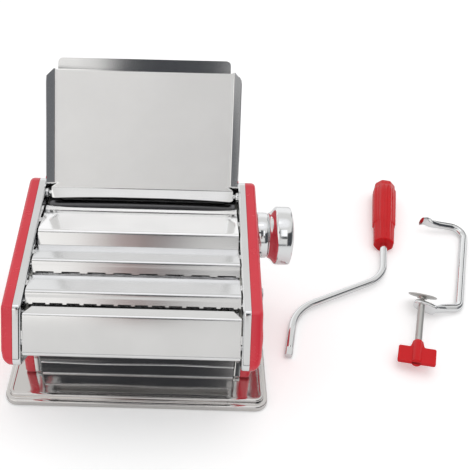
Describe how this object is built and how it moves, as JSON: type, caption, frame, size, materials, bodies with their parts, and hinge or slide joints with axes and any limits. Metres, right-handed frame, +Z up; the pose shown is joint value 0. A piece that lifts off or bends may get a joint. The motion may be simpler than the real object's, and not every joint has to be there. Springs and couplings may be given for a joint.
{
  "type": "hand cranked pasta machine",
  "caption": "Hand cranked pasta machine with smooth rollers, wide and narrow cutters, a thickness knob, lift-off feed tray, crank and table clamp.",
  "frame": {"origin": "on the table, under the middle of the base tray", "axes": "+X to the machine's right, where the crank goes; +Y to its rear, the feed side; +Z up"},
  "size_m": [0.4238, 0.3102, 0.2111],
  "materials": {
    "chrome_steel": "mirror-bright chrome",
    "stainless_sheet": "polished stainless sheet",
    "roller_steel": "ground and plated steel",
    "cutter_steel": "machined steel",
    "red_plastic": "glossy moulded plastic",
    "nylon": "natural nylon",
    "zinc_steel": "zinc plated",
    "black_rubber": "matt rubber"
  },
  "bodies": {
    "machine": {"base_tray": "stainless_sheet", "rubber_feet": "black_rubber", "frame_left": "chrome_steel", "frame_right": "chrome_steel", "cover_left": "red_plastic", "cover_right": "red_plastic", "front_fascia": "stainless_sheet", "guide_plate_rear": "stainless_sheet", "guide_plate_middle": "stainless_sheet", "guide_plate_front": "stainless_sheet", "front_apron": "stainless_sheet", "rear_chute": "stainless_sheet", "rear_panel": "stainless_sheet", "roller_scraper_rear": "stainless_sheet", "roller_scraper_front": "stainless_sheet", "tie_rod_nose": "zinc_steel", "tie_rod_middle": "zinc_steel", "tie_rod_rear": "zinc_steel", "tie_rod_foot": "zinc_steel", "roller_bearings": "nylon", "wide_bearings": "nylon", "narrow_bearings": "nylon", "wide_comb_front": "stainless_sheet", "wide_comb_rear": "stainless_sheet", "narrow_comb_front": "stainless_sheet", "narrow_comb_rear": "stainless_sheet", "index_collar": "chrome_steel", "knob_spring": "zinc_steel"},
    "fixed_roller_body": {"fixed_roller": "roller_steel", "fixed_roller_gear": "cutter_steel"},
    "roller_carrier": {"carrier_left": "zinc_steel", "carrier_right": "zinc_steel", "carrier_bar": "zinc_steel"},
    "adjustable_roller_body": {"adjustable_roller": "roller_steel", "adjustable_roller_gear": "cutter_steel"},
    "thickness_cam": {"gap_cam": "zinc_steel"},
    "thickness_knob": {"knob": "chrome_steel"},
    "wide_front_cutter": {"wide_cutter_front": "cutter_steel", "wide_front_gear": "cutter_steel"},
    "wide_rear_cutter": {"wide_cutter_rear": "cutter_steel", "wide_rear_gear": "cutter_steel"},
    "narrow_front_cutter": {"narrow_cutter_front": "cutter_steel", "narrow_front_gear": "cutter_steel"},
    "narrow_rear_cutter": {"narrow_cutter_rear": "cutter_steel", "narrow_rear_gear": "cutter_steel"},
    "lift_off_tray": {"feed_tray": "stainless_sheet"},
    "crank": {"crank_rod": "chrome_steel"},
    "crank_handle": {"crank_grip": "red_plastic"},
    "clamp": {"clamp_frame": "chrome_steel"},
    "clamp_pressure_pad": {"clamp_pad": "zinc_steel"},
    "clamp_spindle": {"clamp_screw": "zinc_steel", "clamp_wing": "red_plastic"}
  },
  "joints": [
    {"name": "fixed_roller_spin", "type": "hinge", "parent": "machine", "child": "fixed_roller_body", "pos_m": [0, 0.057, 0.102], "axis": [1, 0, 0], "continuous": true},
    {"name": "roller_gap", "type": "slide", "parent": "machine", "child": "roller_carrier", "axis": [0, -1, 0], "range_m": [0, 0.00244]},
    {"name": "adjustable_roller_spin", "type": "hinge", "parent": "roller_carrier", "child": "adjustable_roller_body", "pos_m": [0, 0.0287, 0.102], "axis": [1, 0, 0], "continuous": true},
    {"name": "thickness_turn", "type": "hinge", "parent": "machine", "child": "thickness_cam", "pos_m": [0.08, 0.0287, 0.102], "axis": [-1, 0, 0], "range_deg": [0, 280]},
    {"name": "knob_pull", "type": "slide", "parent": "thickness_cam", "child": "thickness_knob", "axis": [1, 0, 0], "range_m": [0, 0.004], "stiffness_N_per_m": 1500, "springref_m": -0.004},
    {"name": "feed_tray_lift", "type": "slide", "parent": "machine", "child": "lift_off_tray", "axis": [0, 0.5402, 0.8415], "range_m": [0, 0.06]},
    {"name": "crank_lift", "type": "slide", "parent": "machine", "child": "crank", "axis": [0, 0, 1], "range_m": [0, 0.05]},
    {"name": "crank_grip_spin", "type": "hinge", "parent": "crank", "child": "crank_handle", "pos_m": [0.23818, 0.16717, 0.01032], "axis": [0.1959, 0.9799, 0.0376], "continuous": true},
    {"name": "clamp_lift", "type": "slide", "parent": "machine", "child": "clamp", "axis": [0, 0, 1], "range_m": [0, 0.05]},
    {"name": "clamp_pad_travel", "type": "slide", "parent": "clamp", "child": "clamp_pressure_pad", "axis": [0.2924, 0.9563, 0], "range_m": [0, 0.03]},
    {"name": "clamp_screw_turn", "type": "hinge", "parent": "clamp_pressure_pad", "child": "clamp_spindle", "pos_m": [0.2458, 0.0419, 0.0125], "axis": [0.2924, 0.9563, 0], "range_deg": [0, 5400]},
    {"name": "wide_front_spin", "type": "hinge", "parent": "machine", "child": "wide_front_cutter", "pos_m": [0, -0.0359, 0.1], "axis": [1, 0, 0], "continuous": true},
    {"name": "wide_rear_spin", "type": "hinge", "parent": "machine", "child": "wide_rear_cutter", "pos_m": [0, -0.0203, 0.1], "axis": [1, 0, 0], "continuous": true},
    {"name": "narrow_front_spin", "type": "hinge", "parent": "machine", "child": "narrow_front_cutter", "pos_m": [0, -0.0654, 0.0892], "axis": [1, 0, 0], "continuous": true},
    {"name": "narrow_rear_spin", "type": "hinge", "parent": "machine", "child": "narrow_rear_cutter", "pos_m": [0, -0.0498, 0.0892], "axis": [1, 0, 0], "continuous": true}
  ],
  "couplings": [
    {"joint": "adjustable_roller_spin", "follows": "fixed_roller_spin", "ratio": -1},
    {"joint": "roller_gap", "follows": "thickness_turn", "m_per_rad": 0.0005},
    {"joint": "clamp_screw_turn", "follows": "clamp_pad_travel", "rad_per_m": 3141.6},
    {"joint": "wide_rear_spin", "follows": "wide_front_spin", "ratio": -1},
    {"joint": "narrow_rear_spin", "follows": "narrow_front_spin", "ratio": -1}
  ]
}
